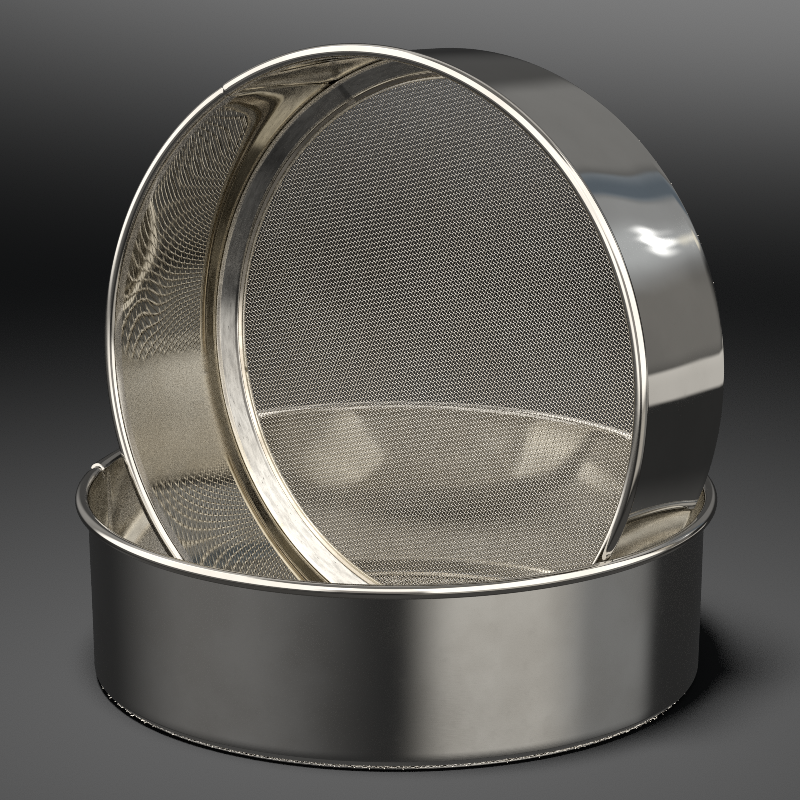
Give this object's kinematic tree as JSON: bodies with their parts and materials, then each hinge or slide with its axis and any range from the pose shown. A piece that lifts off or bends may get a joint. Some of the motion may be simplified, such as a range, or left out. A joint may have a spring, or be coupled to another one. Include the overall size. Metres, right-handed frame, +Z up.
{
  "type": "soil sieve",
  "caption": "Round stainless steel soil sieve with rolled rim and woven wire screen, shown as a matching pair: one lies flat and the other stands on its side inside it, lifting out.",
  "frame": {"origin": "centre of the lower sieve's base ring, at floor level, on the lower sieve's axis, which is also the middle of the pair's footprint", "axes": "+Z up along the lower sieve's axis, from its screen to its rim; -Y faces the viewer; the upper sieve's mouth faces about 34 degrees from -Y towards -X"},
  "size_m": [0.3118, 0.3118, 0.3131],
  "materials": {
    "brushed_wall": "satin stainless sheet, fine brushing around the wall",
    "polished_wall": "mirror-polished stainless sheet",
    "wire_steel": "drawn stainless wire",
    "dull_ring_steel": "dull mottled steel strip",
    "bright_trim_steel": "bright trim strip",
    "woven_screen_steel": "plain-woven stainless wire, bright crowns and dark gaps"
  },
  "bodies": {
    "lower_sieve": {"lower_shell": "brushed_wall", "lower_rim_wire": "wire_steel", "lower_clamp_ring": "dull_ring_steel", "lower_lip_ring": "bright_trim_steel", "lower_screen": "woven_screen_steel", "lower_base_ring": "dull_ring_steel"},
    "upper_sieve": {"upper_shell": "polished_wall", "upper_rim_wire": "wire_steel", "upper_clamp_ring": "dull_ring_steel", "upper_lip_ring": "bright_trim_steel", "upper_screen": "woven_screen_steel", "upper_base_ring": "dull_ring_steel"}
  },
  "joints": [
    {"name": "upper_lift", "type": "slide", "parent": "lower_sieve", "child": "upper_sieve", "axis": [0, 0, 1], "range_m": [0, 0.14]}
  ]
}
